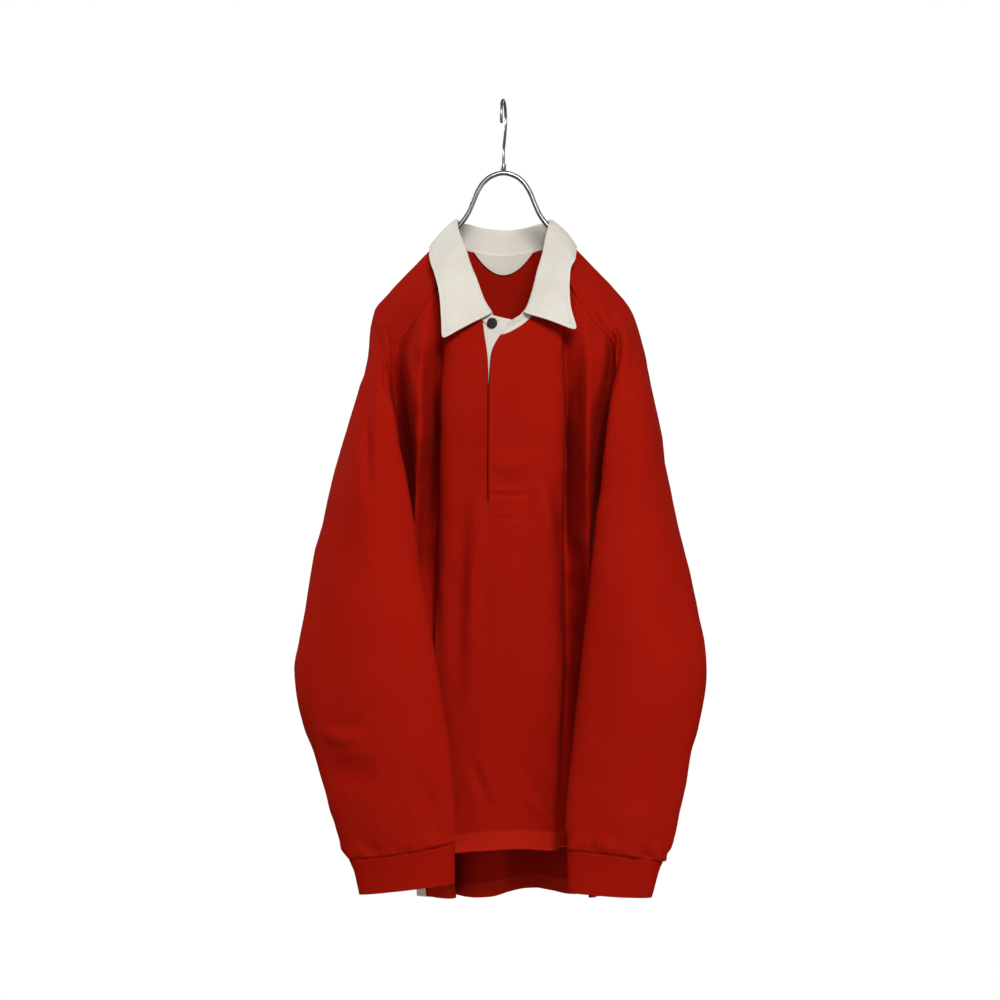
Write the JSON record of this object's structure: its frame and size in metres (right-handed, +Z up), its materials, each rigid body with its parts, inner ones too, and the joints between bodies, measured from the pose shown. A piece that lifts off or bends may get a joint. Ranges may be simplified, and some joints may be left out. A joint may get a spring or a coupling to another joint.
{
  "type": "long-sleeved rugby shirt on a wire hanger",
  "caption": "Red cotton long-sleeved rugby shirt with a white twill collar and placket, hanging open at neck, hem and cuffs on a bent wire hanger.",
  "frame": {"origin": "the point inside the top of the hook's bend, where it rests on a rail", "axes": "+Z up, +X towards the wearer's left, -Y out of the shirt's front"},
  "size_m": [0.4789, 0.2756, 0.9737],
  "materials": {
    "red_jersey": "matt, heavy cotton jersey",
    "white_twill": "matt, off-white cotton twill",
    "chromed_wire": "polished",
    "dark_button": "satin"
  },
  "bodies": {
    "root": {"front": "red_jersey", "back": "red_jersey", "sleeve_right": "red_jersey", "sleeve_left": "red_jersey", "cuff_right": "red_jersey", "cuff_left": "red_jersey", "collar_stand": "white_twill", "collar_fall": "white_twill", "placket_under": "white_twill", "neck_patch": "white_twill", "vent_tape_left": "white_twill", "vent_tape_right": "white_twill", "hanger_wire": "chromed_wire", "hanger_hook": "chromed_wire", "hanger_ferrule": "chromed_wire", "button_collar": "dark_button"}
  },
  "joints": []
}
